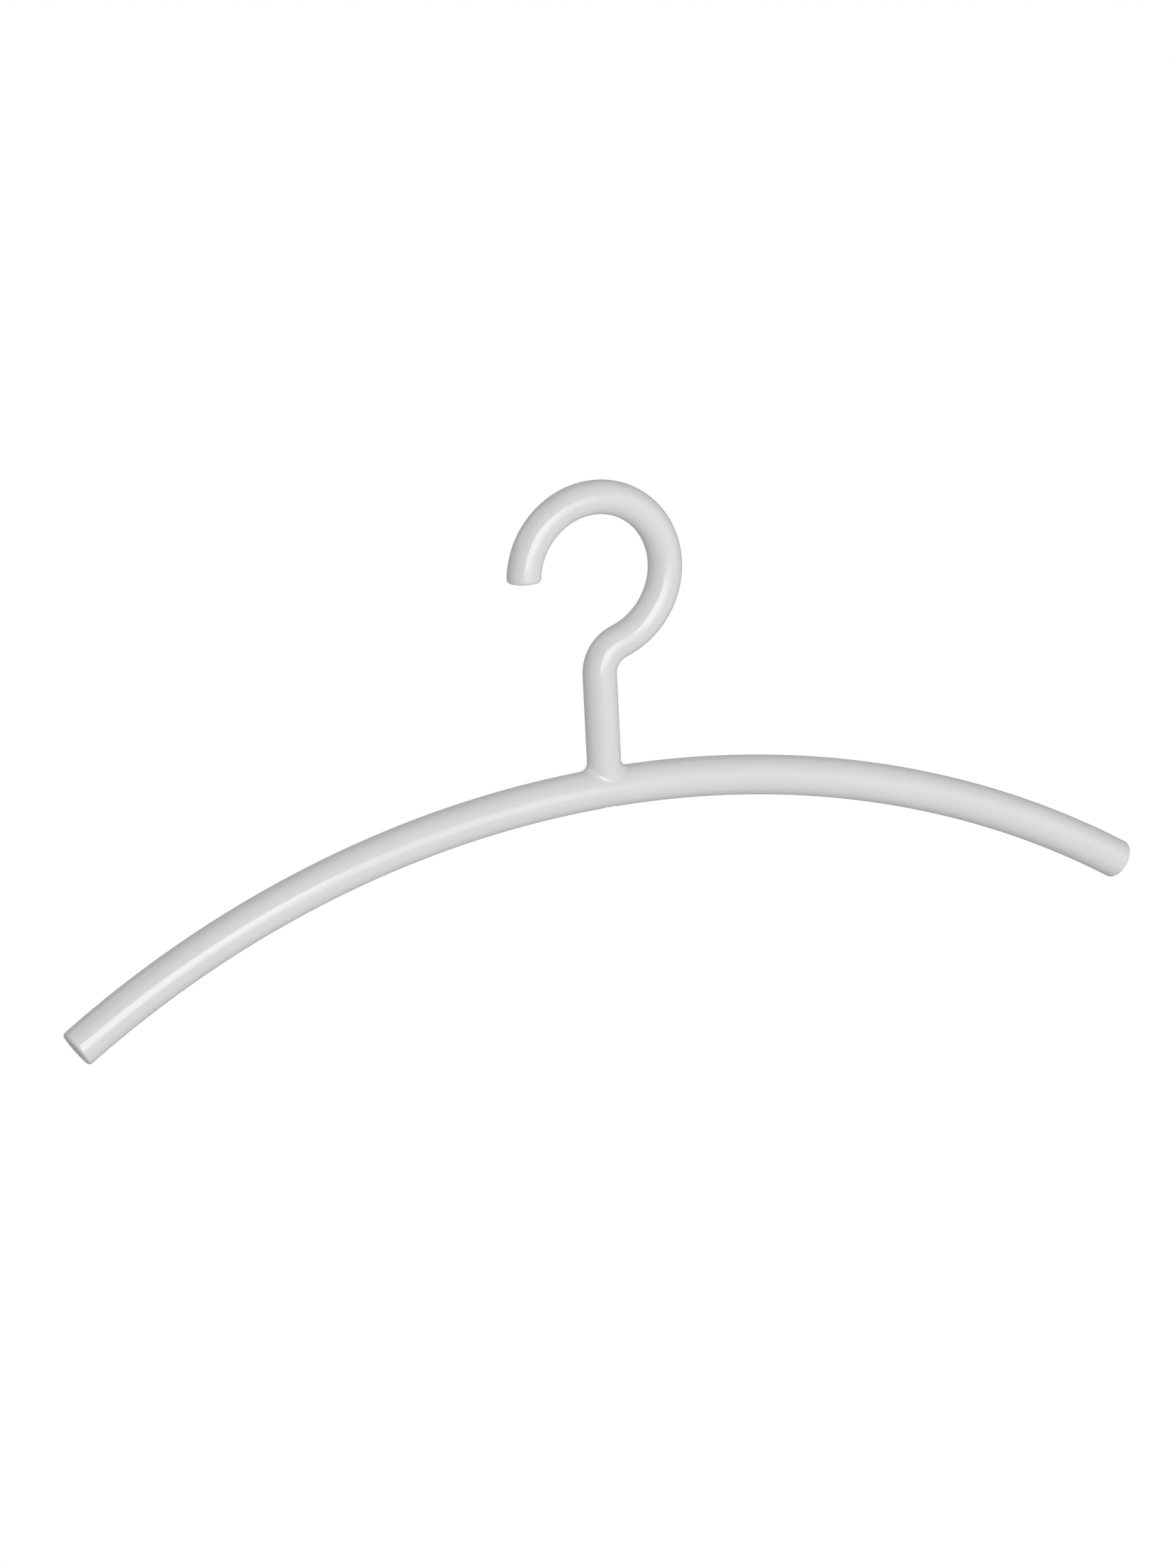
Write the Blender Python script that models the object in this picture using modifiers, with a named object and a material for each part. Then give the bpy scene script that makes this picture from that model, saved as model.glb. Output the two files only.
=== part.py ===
"""Clothes hanger: a nylon-covered steel shoulder bar with a nylon-covered steel hook.

Frame: metres, +Z up, X along the shoulders, Y through the flat side of the hook.
The origin is the rail seat, the highest point inside the hook, where the hanger hangs on a rail.
The hook's steel core stands in a hole in the bar's steel tube. A countersunk screw from below
pulls it down, until the saddle at the hook's foot sits on the bar and keeps the hook from turning.
"""

from math import acos, cos, hypot, pi, radians, sin, sqrt, tan

import bmesh
import bpy
from mathutils import Matrix, Vector

MM = 0.001

# Gap between two faces that touch on the real hanger
FIT_GAP = 0.3 * MM

# Shoulder bar: a round bar bent to one arc
BAR_RADIUS = 7.5 * MM
BAR_ARC_RADIUS = 394.0 * MM
BAR_HALF_ANGLE = radians(33.2)
BAR_EDGE_ROUNDING = 1.2 * MM
BAR_END_WALL = 3.0 * MM

# Steel tube inside the bar
TUBE_RADIUS = 6.0 * MM
TUBE_WALL = 1.0 * MM

# Hook: a straight stem, a knee to the right, a short link and a loop back over the top
HOOK_RADIUS = 6.4 * MM
STEM_HEIGHT = 43.7 * MM
KNEE_RADIUS = 12.2 * MM
KNEE_ANGLE = radians(70.0)
LOOP_RADIUS = 28.7 * MM
LOOP_ANGLE = radians(248.5)
TIP_ROUNDING = 1.2 * MM
TIP_WALL = 3.0 * MM
FOOT_FILLET_RADIUS = 3.5 * MM

# Steel rod inside the hook, tapped at its lower end
ROD_RADIUS = 3.5 * MM
ROD_FOOT_DEPTH = 3.2 * MM
TAPPED_DEPTH = 13.0 * MM

# Countersunk M4 screw, entering from under the bar
SCREW_RADIUS = 2.0 * MM
SCREW_LENGTH = 14.0 * MM
SCREW_HEAD_RADIUS = 3.75 * MM
SCREW_HEAD_DEPTH = 0.9 * MM
SCREW_HEAD_RIM = 0.3 * MM
SOCKET_ACROSS_FLATS = 2.5 * MM
SOCKET_DEPTH = 1.4 * MM

# Plugs that close the holes by which the mould held the steel cores
END_PLUG_RADIUS = 3.0 * MM
END_PLUG_LENGTH = 5.0 * MM
TIP_PLUG_RADIUS = 2.5 * MM
TIP_PLUG_LENGTH = 2.8 * MM
PLUG_CHAMFER = 0.3 * MM

# Mesh fineness
BAR_SIDES = 24
CORE_SIDES = 16
TURNED_SIDES = 24
BAR_ARC_PIECES = 4
LOOP_PIECES = 4
CURVE_RESOLUTION = 6
BAR_STEPS = 24
KNEE_STEPS = 7
LOOP_STEPS = 28
ROUNDING_STEPS = 3
FOOT_STEPS = 7
WELD_DISTANCE = 0.001 * MM
CUTTER_OVERRUN = 2.0 * MM

# Materials: colour, roughness, metallic
NYLON = ((0.80, 0.80, 0.80), 0.28, 0.0)
STEEL = ((0.56, 0.57, 0.58), 0.35, 1.0)
ZINC_STEEL = ((0.70, 0.71, 0.73), 0.25, 1.0)

# Heights that follow from the driving sizes, from the bar's axis at its middle
LINK_LENGTH = (LOOP_RADIUS * cos(KNEE_ANGLE) - KNEE_RADIUS * (1.0 - cos(KNEE_ANGLE))) / sin(KNEE_ANGLE)
LOOP_HEIGHT = STEM_HEIGHT + (KNEE_RADIUS + LOOP_RADIUS) * sin(KNEE_ANGLE) + LINK_LENGTH * cos(KNEE_ANGLE)
RAIL_SEAT_HEIGHT = LOOP_HEIGHT + LOOP_RADIUS - HOOK_RADIUS
BAR_AXIS_Z = -RAIL_SEAT_HEIGHT
SCREW_FACE_Z = BAR_AXIS_Z - BAR_RADIUS + SCREW_HEAD_DEPTH

SKIN_BORE_RADIUS = TUBE_RADIUS + FIT_GAP
ROD_BORE_RADIUS = ROD_RADIUS + FIT_GAP

UP = Vector((0.0, 0.0, 1.0))
Y_AXIS = Vector((0.0, 1.0, 0.0))


# ---------------------------------------------------------------- scene, materials, helpers

def clear_scene():
    for obj in list(bpy.data.objects):
        bpy.data.objects.remove(obj, do_unlink=True)


def new_collection(name):
    collection = bpy.data.collections.new(name)
    bpy.context.scene.collection.children.link(collection)
    return collection


def give_material(obj, finish):
    colour, roughness, metallic = finish
    material = bpy.data.materials.new(obj.name)
    material.use_nodes = True
    shader = material.node_tree.nodes["Principled BSDF"]
    shader.inputs["Base Color"].default_value = (*colour, 1.0)
    shader.inputs["Roughness"].default_value = roughness
    shader.inputs["Metallic"].default_value = metallic
    obj.data.materials.clear()
    obj.data.materials.append(material)


def finish_part(obj, finish):
    give_material(obj, finish)
    obj.data.shade_smooth()
    obj.data.set_sharp_from_angle(angle=radians(35.0))


def make_cutter(obj):
    obj.hide_render = True
    obj.display_type = "WIRE"
    return obj


def cut(obj, cutter):
    modifier = obj.modifiers.new("cut_" + cutter.name, "BOOLEAN")
    modifier.operation = "DIFFERENCE"
    modifier.object = cutter


def mesh_object(name, bm, collection):
    bmesh.ops.recalc_face_normals(bm, faces=bm.faces)
    mesh = bpy.data.meshes.new(name)
    bm.to_mesh(mesh)
    bm.free()
    obj = bpy.data.objects.new(name, mesh)
    collection.objects.link(obj)
    return obj


def round_bar(name, knots, radius, sides, collection):
    """A mesh of a round bar along a smooth path; each knot is (place, direction, handle in, handle out)."""
    curve = bpy.data.curves.new(name + "_path", "CURVE")
    curve.dimensions = "3D"
    curve.bevel_depth = radius
    curve.bevel_resolution = (sides - 4) // 2
    curve.use_fill_caps = True
    curve.resolution_u = CURVE_RESOLUTION
    curve.render_resolution_u = 0
    spline = curve.splines.new("BEZIER")
    spline.bezier_points.add(len(knots) - 1)
    for point, (place, direction, handle_in, handle_out) in zip(spline.bezier_points, knots):
        point.handle_left_type = "FREE"
        point.handle_right_type = "FREE"
        point.co = place
        point.handle_left = place - direction * handle_in
        point.handle_right = place + direction * handle_out
    path = bpy.data.objects.new(name + "_path", curve)
    collection.objects.link(path)

    depsgraph = bpy.context.evaluated_depsgraph_get()
    mesh = bpy.data.meshes.new_from_object(path.evaluated_get(depsgraph))
    bm = bmesh.new()
    bm.from_mesh(mesh)
    bmesh.ops.remove_doubles(bm, verts=bm.verts, dist=WELD_DISTANCE)
    bar = mesh_object(name, bm, collection)
    bar.matrix_world = path.matrix_world
    bpy.data.meshes.remove(mesh)
    bpy.data.objects.remove(path, do_unlink=True)
    bpy.data.curves.remove(curve)
    return bar


def turned(name, profile, collection):
    """A round piece about Z; the profile is (radius, height) pairs, top to bottom, from axis to axis."""
    mesh = bpy.data.meshes.new(name)
    edges = [(i, i + 1) for i in range(len(profile) - 1)]
    mesh.from_pydata([(radius, 0.0, height) for radius, height in profile], edges, [])
    obj = bpy.data.objects.new(name, mesh)
    collection.objects.link(obj)
    screw = obj.modifiers.new("turn", "SCREW")
    screw.axis = "Z"
    screw.steps = TURNED_SIDES
    screw.render_steps = TURNED_SIDES
    screw.use_merge_vertices = True
    screw.merge_threshold = WELD_DISTANCE
    return obj


def cylinder(name, radius, bottom, top, collection):
    profile = [(0.0, top), (radius, top), (radius, bottom), (0.0, bottom)]
    return turned(name, profile, collection)


def point_along(obj, place, direction):
    """Stand a turned piece at a place, with its own Z along the direction."""
    obj.location = place
    obj.rotation_mode = "QUATERNION"
    obj.rotation_quaternion = direction.to_track_quat("Z", "Y")


def lofted(name, rings, collection):
    """A closed skin through rings of equal point counts, the last joined to the first."""
    bm = bmesh.new()
    loops = [[bm.verts.new(point) for point in ring] for ring in rings]
    count = len(loops[0])
    for ring, following in zip(loops, loops[1:] + loops[:1]):
        for i in range(count):
            j = (i + 1) % count
            bm.faces.new((ring[i], ring[j], following[j], following[i]))
    return mesh_object(name, bm, collection)


# ---------------------------------------------------------------- paths

def bar_place(angle):
    """The bar axis's place and direction, at an angle from the middle seen from the arc's centre."""
    centre = Vector((0.0, 0.0, BAR_AXIS_Z - BAR_ARC_RADIUS))
    place = centre + BAR_ARC_RADIUS * Vector((sin(angle), 0.0, cos(angle)))
    return place, Vector((cos(angle), 0.0, -sin(angle)))


def arc_handle(radius, angle):
    """The Bezier handle that makes one curve piece follow an arc."""
    return 4.0 / 3.0 * tan(angle / 4.0) * radius


def bar_knots(half_angle):
    step = 2.0 * half_angle / BAR_ARC_PIECES
    handle = arc_handle(BAR_ARC_RADIUS, step)
    knots = []
    for i in range(BAR_ARC_PIECES + 1):
        place, direction = bar_place(-half_angle + i * step)
        knots.append((place, direction, handle, handle))
    return knots


def turn(place, direction, radius, angle):
    """Follow an arc in the hook's plane; a positive angle turns from +Z towards -X."""
    side = Vector((-direction.z, 0.0, direction.x))
    centre = place + side * radius if angle > 0.0 else place - side * radius
    rotation = Matrix.Rotation(-angle, 3, "Y")
    return centre + rotation @ (place - centre), rotation @ direction


def hook_corners():
    """Start of the knee, of the link and of the loop, each as (place, direction)."""
    knee = (Vector((0.0, 0.0, BAR_AXIS_Z + STEM_HEIGHT)), UP.copy())
    link = turn(*knee, KNEE_RADIUS, -KNEE_ANGLE)
    loop = (link[0] + link[1] * LINK_LENGTH, link[1])
    return knee, link, loop


def hook_stations(tip_angle):
    """Stations up the hook, from the top of the stem to an angle round the loop."""
    knee, link, loop = hook_corners()
    stations = [turn(*knee, KNEE_RADIUS, -KNEE_ANGLE * i / KNEE_STEPS) for i in range(KNEE_STEPS + 1)]
    stations += [turn(*loop, LOOP_RADIUS, tip_angle * i / LOOP_STEPS) for i in range(LOOP_STEPS + 1)]
    return stations


def ring(place, direction, radius):
    """Points of a circle round a station; the first lies on the right of a rising stem."""
    right = Vector((direction.z, 0.0, -direction.x))
    angles = [2.0 * pi * i / BAR_SIDES for i in range(BAR_SIDES)]
    return [place + radius * (right * cos(a) + Y_AXIS * sin(a)) for a in angles]


def bar_rings(half_angle, radius):
    angles = [half_angle * (2.0 * i / BAR_STEPS - 1.0) for i in range(BAR_STEPS + 1)]
    return [ring(*bar_place(angle), radius) for angle in angles]


def rounded_end(place, direction, radius, rounding, sense=1.0):
    """Rings round the edge of a flat end that faces sense * direction, out of the side and onto the face."""
    rings = []
    for step in range(1, ROUNDING_STEPS + 1):
        angle = 0.5 * pi * step / ROUNDING_STEPS
        back = sense * rounding * (1.0 - sin(angle))
        rings.append(ring(place - direction * back, direction, radius - rounding * (1.0 - cos(angle))))
    return rings


def rod_knots(foot_z, tip_angle):
    """Bezier knots of the hook's axis, from a height in the bar to an angle round the loop."""
    knee, link, loop = hook_corners()
    foot = Vector((0.0, 0.0, foot_z))
    stem_handle = (knee[0] - foot).length / 3.0
    knee_handle = arc_handle(KNEE_RADIUS, KNEE_ANGLE)
    link_handle = LINK_LENGTH / 3.0
    step = tip_angle / LOOP_PIECES
    loop_handle = arc_handle(LOOP_RADIUS, step)
    knots = [
        (foot, UP, stem_handle, stem_handle),
        (*knee, stem_handle, knee_handle),
        (*link, knee_handle, link_handle),
        (*loop, link_handle, loop_handle),
    ]
    for i in range(1, LOOP_PIECES + 1):
        knots.append((*turn(*loop, LOOP_RADIUS, i * step), loop_handle, loop_handle))
    return knots


# ---------------------------------------------------------------- saddle foot of the hook

def bar_height(x, y, stand_off):
    """Height over the bar's middle axis of the surface a stand-off above the bar."""
    over_arc = BAR_ARC_RADIUS + sqrt((BAR_RADIUS + stand_off) ** 2 - y * y)
    return sqrt(over_arc ** 2 - x * x) - BAR_ARC_RADIUS


def clearance(point):
    """Distance of a point from the bar's surface; the point is taken from the bar's middle axis."""
    over_arc = hypot(point.x, point.z + BAR_ARC_RADIUS) - BAR_ARC_RADIUS
    return hypot(over_arc, point.y) - BAR_RADIUS


def fillet_ball(angle):
    """Centre of the ball that rolls between stem and bar, and its directions to both."""
    reach = HOOK_RADIUS + FOOT_FILLET_RADIUS
    x, y = reach * cos(angle), reach * sin(angle)
    centre = Vector((x, y, bar_height(x, y, FOOT_FILLET_RADIUS)))
    to_stem = Vector((-cos(angle), -sin(angle), 0.0))
    arc_centre = Vector((0.0, 0.0, -BAR_ARC_RADIUS))
    outward = Vector((centre.x, 0.0, centre.z + BAR_ARC_RADIUS)).normalized()
    to_bar = (arc_centre + outward * BAR_ARC_RADIUS - centre).normalized()
    return centre, to_stem, to_bar


def fillet_point(angle, turned_by):
    """A point on the fillet, a turn of the ball's radius away from the stem."""
    centre, to_stem, to_bar = fillet_ball(angle)
    whole = acos(to_stem.dot(to_bar))
    direction = to_stem * sin(whole - turned_by) + to_bar * sin(turned_by)
    return centre + direction * (FOOT_FILLET_RADIUS / sin(whole))


def fillet_turn_at_gap(angle):
    """How far the fillet turns before it comes within the fit gap of the bar; 0 if it starts there."""
    centre, to_stem, to_bar = fillet_ball(angle)
    low, high = 0.0, acos(to_stem.dot(to_bar))
    if clearance(fillet_point(angle, low)) <= FIT_GAP:
        return 0.0
    for _ in range(40):
        middle = 0.5 * (low + high)
        if clearance(fillet_point(angle, middle)) > FIT_GAP:
            low = middle
        else:
            high = middle
    return low


def foot_rings():
    """Rings down the outside of the foot, from the stem to the saddle's edge."""
    rings = [[] for _ in range(FOOT_STEPS + 1)]
    for i in range(BAR_SIDES):
        angle = 2.0 * pi * i / BAR_SIDES
        x, y = HOOK_RADIUS * cos(angle), HOOK_RADIUS * sin(angle)
        stem_top = BAR_RADIUS + FOOT_FILLET_RADIUS + 1.0 * MM
        curve_top = fillet_ball(angle)[0].z
        last_turn = fillet_turn_at_gap(angle)
        stem_bottom = curve_top if last_turn > 0.0 else bar_height(x, y, FIT_GAP)
        straight = stem_top - stem_bottom
        length = straight + last_turn * FOOT_FILLET_RADIUS
        for step, foot_ring in enumerate(rings):
            travelled = length * step / FOOT_STEPS
            if travelled <= straight:
                point = Vector((x, y, stem_top - travelled))
            else:
                point = fillet_point(angle, (travelled - straight) / FOOT_FILLET_RADIUS)
            foot_ring.append(point + UP * BAR_AXIS_Z)
    return rings


def saddle_rings(edge_ring):
    """Rings across the underside of the saddle, from its edge in to the bore."""
    rings = []
    for share in (0.35, 0.7, 1.0):
        inner = []
        for i, edge in enumerate(edge_ring):
            angle = 2.0 * pi * i / BAR_SIDES
            bore_x, bore_y = ROD_BORE_RADIUS * cos(angle), ROD_BORE_RADIUS * sin(angle)
            x = edge.x + (bore_x - edge.x) * share
            y = edge.y + (bore_y - edge.y) * share
            inner.append(Vector((x, y, BAR_AXIS_Z + bar_height(x, y, FIT_GAP))))
        rings.append(inner)
    return rings


# ---------------------------------------------------------------- parts

def make_shoulder_bar(parts, cuts):
    inner_half_angle = BAR_HALF_ANGLE - BAR_END_WALL / BAR_ARC_RADIUS
    hole_radius = END_PLUG_RADIUS + FIT_GAP
    ends = []
    for sense in (-1.0, 1.0):
        place, direction = bar_place(sense * BAR_HALF_ANGLE)
        end = rounded_end(place, direction, BAR_RADIUS, BAR_EDGE_ROUNDING, sense)
        end.append(ring(place, direction, hole_radius))
        end.append(ring(*bar_place(sense * inner_half_angle), hole_radius))
        ends.append(end)
    left_end, right_end = ends

    outside = bar_rings(BAR_HALF_ANGLE - BAR_EDGE_ROUNDING / BAR_ARC_RADIUS, BAR_RADIUS)
    cavity = bar_rings(inner_half_angle, SKIN_BORE_RADIUS)
    bar = lofted("shoulder_bar", left_end[::-1] + outside + right_end + cavity[::-1], parts)
    for cutter in cuts:
        cut(bar, cutter)
    finish_part(bar, NYLON)


def make_bar_core(parts, cutters, cuts):
    half_angle = BAR_HALF_ANGLE - (BAR_END_WALL + FIT_GAP) / BAR_ARC_RADIUS
    tube = round_bar("bar_core", bar_knots(half_angle), TUBE_RADIUS, CORE_SIDES, parts)
    overrun_angle = half_angle + CUTTER_OVERRUN / BAR_ARC_RADIUS
    bore = round_bar("tube_bore", bar_knots(overrun_angle), TUBE_RADIUS - TUBE_WALL, CORE_SIDES, cutters)
    cut(tube, make_cutter(bore))
    for cutter in cuts:
        cut(tube, cutter)
    finish_part(tube, STEEL)


def make_hook(parts):
    foot = foot_rings()
    tip_place, tip_direction = turn(*hook_corners()[2], LOOP_RADIUS, LOOP_ANGLE)
    rounding_start = LOOP_ANGLE - TIP_ROUNDING / LOOP_RADIUS
    wall_start = LOOP_ANGLE - TIP_WALL / LOOP_RADIUS

    outside = [ring(*station, HOOK_RADIUS) for station in hook_stations(rounding_start)]
    outside += rounded_end(tip_place, tip_direction, HOOK_RADIUS, TIP_ROUNDING)

    hole_radius = TIP_PLUG_RADIUS + FIT_GAP
    wall_place, wall_direction = turn(*hook_corners()[2], LOOP_RADIUS, wall_start)
    tip_hole = [ring(tip_place, tip_direction, hole_radius), ring(wall_place, wall_direction, hole_radius)]
    bore = [ring(*station, ROD_BORE_RADIUS) for station in reversed(hook_stations(wall_start))]
    underside = list(reversed(saddle_rings(foot[-1])))

    hook = lofted("hook", list(reversed(foot)) + outside + tip_hole + bore + underside, parts)
    finish_part(hook, NYLON)


def make_hook_core(parts, cutters):
    foot_z = BAR_AXIS_Z - ROD_FOOT_DEPTH
    tip_angle = LOOP_ANGLE - (TIP_WALL + FIT_GAP) / LOOP_RADIUS
    rod = round_bar("hook_core", rod_knots(foot_z, tip_angle), ROD_RADIUS, CORE_SIDES, parts)
    hole_radius = SCREW_RADIUS + FIT_GAP
    tapped = cylinder("tapped_hole", hole_radius, foot_z - CUTTER_OVERRUN, foot_z + TAPPED_DEPTH, cutters)
    cut(rod, make_cutter(tapped))
    finish_part(rod, STEEL)


def screw_profile(gap, face_z):
    """Outline of the countersunk screw, grown by a gap; its head's face is at face_z."""
    cone_gap = gap * (sqrt(2.0) - 1.0)
    head_top = SCREW_FACE_Z + SCREW_HEAD_RIM + cone_gap
    neck = head_top + SCREW_HEAD_RADIUS - SCREW_RADIUS
    top = SCREW_FACE_Z + SCREW_LENGTH
    return [
        (0.0, top),
        (SCREW_RADIUS + gap, top),
        (SCREW_RADIUS + gap, neck),
        (SCREW_HEAD_RADIUS + gap, head_top),
        (SCREW_HEAD_RADIUS + gap, face_z),
        (0.0, face_z),
    ]


def make_hook_screw(parts, cutters):
    screw = turned("hook_screw", screw_profile(0.0, SCREW_FACE_Z), parts)
    bm = bmesh.new()
    corner_radius = SOCKET_ACROSS_FLATS / (2.0 * cos(pi / 6.0))
    middle = Matrix.Translation((0.0, 0.0, SCREW_FACE_Z))
    bmesh.ops.create_cone(
        bm,
        cap_ends=True,
        segments=6,
        radius1=corner_radius,
        radius2=corner_radius,
        depth=2.0 * SOCKET_DEPTH,
        matrix=middle,
    )
    socket = mesh_object("hex_socket", bm, cutters)
    cut(screw, make_cutter(socket))
    finish_part(screw, ZINC_STEEL)


def make_plug(name, place, direction, radius, length, parts):
    """A round plug whose outer face is flush at the place, facing along the direction."""
    profile = [
        (0.0, 0.0),
        (radius - PLUG_CHAMFER / 2.0, 0.0),
        (radius, -PLUG_CHAMFER / 2.0),
        (radius, PLUG_CHAMFER - length),
        (radius - PLUG_CHAMFER, -length),
        (0.0, -length),
    ]
    plug = turned(name, profile, parts)
    point_along(plug, place, direction)
    finish_part(plug, NYLON)


def main():
    clear_scene()
    parts = new_collection("clothes_hanger")
    cutters = new_collection("cutters")

    stem_top = BAR_AXIS_Z + BAR_RADIUS + CUTTER_OVERRUN
    stem_hole = make_cutter(cylinder("stem_hole", ROD_BORE_RADIUS, BAR_AXIS_Z, stem_top, cutters))
    well_bottom = SCREW_FACE_Z - SCREW_HEAD_DEPTH - CUTTER_OVERRUN
    screw_well = make_cutter(turned("screw_well", screw_profile(FIT_GAP, well_bottom), cutters))

    make_shoulder_bar(parts, (stem_hole, screw_well))
    make_bar_core(parts, cutters, (stem_hole, screw_well))
    make_hook(parts)
    make_hook_core(parts, cutters)
    make_hook_screw(parts, cutters)
    for side, name in ((-1, "left_end_plug"), (1, "right_end_plug")):
        place, direction = bar_place(side * BAR_HALF_ANGLE)
        make_plug(name, place, side * direction, END_PLUG_RADIUS, END_PLUG_LENGTH, parts)
    tip_place, tip_direction = turn(*hook_corners()[2], LOOP_RADIUS, LOOP_ANGLE)
    make_plug("hook_tip_plug", tip_place, tip_direction, TIP_PLUG_RADIUS, TIP_PLUG_LENGTH, parts)


main()
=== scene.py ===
"""Clothes hanger, looks: fine meshes, materials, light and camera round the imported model.

Every piece is rebuilt from the same driving sizes as the CAD, with closer fits and finer rings.
Frame: metres, +Z up, X along the shoulders, origin at the rail seat inside the hook.
"""

from collections import namedtuple
from math import acos, atan2, cos, hypot, pi, radians, sin, sqrt, tau

import bmesh
import bpy
from mathutils import Matrix, Vector


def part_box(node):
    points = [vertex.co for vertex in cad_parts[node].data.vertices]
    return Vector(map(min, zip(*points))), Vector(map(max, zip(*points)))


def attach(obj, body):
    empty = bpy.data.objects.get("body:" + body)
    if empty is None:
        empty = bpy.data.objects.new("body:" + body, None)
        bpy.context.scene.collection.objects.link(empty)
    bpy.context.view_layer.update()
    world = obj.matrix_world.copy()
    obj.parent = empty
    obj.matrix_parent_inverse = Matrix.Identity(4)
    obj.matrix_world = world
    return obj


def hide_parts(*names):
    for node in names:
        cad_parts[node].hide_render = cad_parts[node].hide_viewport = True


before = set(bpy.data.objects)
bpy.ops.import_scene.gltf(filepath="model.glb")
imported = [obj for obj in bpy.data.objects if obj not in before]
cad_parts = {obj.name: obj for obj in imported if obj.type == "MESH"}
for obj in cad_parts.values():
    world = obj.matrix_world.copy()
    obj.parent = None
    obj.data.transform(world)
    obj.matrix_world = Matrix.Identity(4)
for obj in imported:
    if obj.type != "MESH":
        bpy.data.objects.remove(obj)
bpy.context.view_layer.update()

MM = 0.001
UP = Vector((0.0, 0.0, 1.0))
Y_AXIS = Vector((0.0, 1.0, 0.0))

# Shoulder bar
BAR_RADIUS = 7.5 * MM
BAR_ARC_RADIUS = 394.0 * MM
BAR_HALF_ANGLE = radians(33.2)
BAR_EDGE_ROUNDING = 1.2 * MM
BAR_END_WALL = 3.0 * MM
TUBE_RADIUS = 6.0 * MM
TUBE_WALL = 1.0 * MM

# Hook
HOOK_RADIUS = 6.4 * MM
STEM_HEIGHT = 43.7 * MM
KNEE_RADIUS = 12.2 * MM
KNEE_ANGLE = radians(70.0)
LOOP_RADIUS = 28.7 * MM
LOOP_ANGLE = radians(248.5)
TIP_ROUNDING = 1.2 * MM
TIP_WALL = 3.0 * MM
FOOT_FILLET_RADIUS = 3.5 * MM
ROD_RADIUS = 3.5 * MM
ROD_FOOT_DEPTH = 3.2 * MM
TAPPED_DEPTH = 13.0 * MM
LINK_LENGTH = (LOOP_RADIUS * cos(KNEE_ANGLE) - KNEE_RADIUS * (1.0 - cos(KNEE_ANGLE))) / sin(KNEE_ANGLE)

# Screw and plugs
SCREW_RADIUS = 2.0 * MM
SCREW_LENGTH = 14.0 * MM
SCREW_HEAD_RADIUS = 3.75 * MM
SCREW_HEAD_RIM = 0.3 * MM
SOCKET_ACROSS_FLATS = 2.5 * MM
SOCKET_DEPTH = 1.4 * MM
SOCKET_POINT = 0.2 * SOCKET_ACROSS_FLATS
DRILL_POINT = 0.5 * SCREW_RADIUS
THREAD_PITCH = 0.7 * MM
THREAD_DEPTH = 0.38 * MM
THREAD_ROOT_SHARPNESS = 1.15
END_PLUG_RADIUS = 3.0 * MM
END_PLUG_LENGTH = 5.0 * MM
TIP_PLUG_RADIUS = 2.5 * MM
TIP_PLUG_LENGTH = 2.8 * MM

# Fits, most of which show as fine seams
PLUG_SEAM = 0.05 * MM
CORE_FIT = 0.02 * MM
SADDLE_FIT = 0.01 * MM
WELL_FIT = 0.15 * MM

# Edges, and the angle from which a fold in a mesh is drawn sharp
EDGE_BREAK = 0.15 * MM
EDGE_SOFTENING = 0.3 * EDGE_BREAK
WELL_MOUTH_ROUNDING = 0.3 * MM
FOLD_ANGLE = radians(38.0)

# The mark that a mould's gate leaves on a plug; its outline is in shares of its radius and depth
GATE_DEPTH = 0.12 * MM
GATE_SHARE = 0.22
GATE_OUTLINE = ((0.0, 1.0), (0.6, 1.0), (0.85, 0.7), (1.0, 0.0))

# The loop's centre over the bar's axis, then two heights from the origin, which is the rail seat
LOOP_HEIGHT = STEM_HEIGHT + (KNEE_RADIUS + LOOP_RADIUS) * sin(KNEE_ANGLE) + LINK_LENGTH * cos(KNEE_ANGLE)
BAR_AXIS_Z = HOOK_RADIUS - LOOP_RADIUS - LOOP_HEIGHT
SCREW_FACE_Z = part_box("hook_screw")[0].z

# Mesh fineness
SIDES = 72
WINDOW_CELLS = 20
WINDOW_RINGS = 4
LINING_RINGS = 6
BAR_STATIONS = 150
KNEE_STEPS = 18
LOOP_STEPS = 110
STEM_STEPS = 12
FILLET_STEPS = 20
SADDLE_STEPS = 12
ROUNDING_STEPS = 8
THREAD_STEPS_PER_TURN = 10

# The patch of the bar's mesh that is opened for a hole, and where the stem starts above its fillet
WINDOW_HALF_LENGTH = 5.8 * MM
STEM_START = 0.5 * MM

# Steps of each bisection, and the widest hole that it looks for, as a share of the skin's radius
BISECTIONS = 50
WIDEST_HOLE = 0.999


# ---------------------------------------------------------------- skins through rings of points

def bridge(bm, first, second, open_cells=()):
    """Faces between two rings of corners; a ring of one corner is a pole."""
    count = max(len(first), len(second))
    for i in range(count):
        if i in open_cells:
            continue
        j = (i + 1) % count
        corners = (
            first[i % len(first)],
            first[j % len(first)],
            second[j % len(second)],
            second[i % len(second)],
        )
        bm.faces.new(dict.fromkeys(corners))


def new_corners(bm, points):
    return [bm.verts.new(point) for point in points]


def mesh_piece(name, bm):
    """A piece from a closed skin, smooth except across folds."""
    loose = [corner for corner in bm.verts if not corner.link_faces]
    bmesh.ops.delete(bm, geom=loose, context="VERTS")
    bmesh.ops.recalc_face_normals(bm, faces=bm.faces)
    mesh = bpy.data.meshes.new(name)
    bm.to_mesh(mesh)
    bm.free()
    mesh.shade_smooth()
    mesh.set_sharp_from_angle(angle=FOLD_ANGLE)
    piece = bpy.data.objects.new(name, mesh)
    bpy.context.scene.collection.objects.link(piece)
    return piece


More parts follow.
